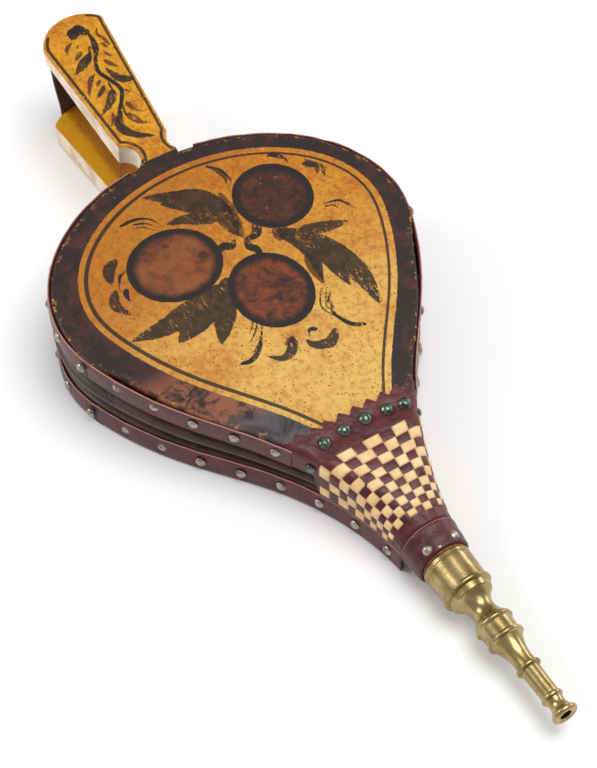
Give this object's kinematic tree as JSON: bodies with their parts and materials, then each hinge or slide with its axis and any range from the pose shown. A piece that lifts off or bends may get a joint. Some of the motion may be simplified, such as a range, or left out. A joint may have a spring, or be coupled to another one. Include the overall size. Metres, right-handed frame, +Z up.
{
  "type": "hand bellows",
  "caption": "Pear-shaped hand bellows: two painted boards with handles, a folded leather side, a leather-covered nose with woven strips and a turned brass nozzle.",
  "frame": {"origin": "middle of the footprint, on the underside of the back board, as it lies at rest", "axes": "+X along the bellows towards the nozzle, +Y to the left, +Z up through the front board"},
  "size_m": [0.4594, 0.1932, 0.0663],
  "materials": {
    "painted_wood": "worn yellow oil paint over hardwood",
    "bare_wood": "bare hardwood",
    "iron": "blackened iron",
    "brass": "aged turned brass",
    "maroon_leather": "polished maroon leather with raw edges",
    "brown_leather": "dark brown leather",
    "cream_leather": "cream leather strips",
    "nail_brass": "tarnished domed nails",
    "nail_dark": "dark green-black domed nails",
    "cane": "bent cane"
  },
  "bodies": {
    "back": {"back_board": "painted_wood", "nose_block": "bare_wood", "nose_block_screws": "iron", "nozzle": "brass", "lower_trim_band": "maroon_leather", "lower_trim_nails": "nail_brass", "bellows_leather": "brown_leather", "hinge_cover": "maroon_leather", "woven_strips": "cream_leather", "collar": "maroon_leather", "collar_nails": "nail_brass", "valve_hinge_strip": "brown_leather", "valve_tacks": "iron", "handle_strap": "brown_leather", "lower_strap_tacks": "iron"},
    "front": {"front_board": "painted_wood", "upper_trim_band": "maroon_leather", "upper_trim_nails": "nail_brass", "hinge_cover_nails": "nail_dark", "upper_strap_tacks": "iron"},
    "hoop": {"fold_hoop": "cane"},
    "valve": {"valve_flap": "brown_leather", "valve_stiffener": "bare_wood"}
  },
  "joints": [
    {"name": "board_hinge", "type": "hinge", "parent": "back", "child": "front", "pos_m": [0.07715, 0, 0.037], "axis": [0, 1, 0], "range_deg": [-5, 0], "deforming": ["bellows_leather", "hinge_cover", "handle_strap"]},
    {"name": "hoop_fold", "type": "hinge", "parent": "back", "child": "hoop", "pos_m": [0.07715, 0, 0.037], "axis": [0, 1, 0], "range_deg": [-2.5, 0]},
    {"name": "valve_lift", "type": "hinge", "parent": "back", "child": "valve", "pos_m": [-0.01935, 0, 0.0144], "axis": [0, 1, 0], "range_deg": [0, 10]}
  ],
  "couplings": [
    {"joint": "hoop_fold", "follows": "board_hinge", "ratio": 0.5}
  ]
}
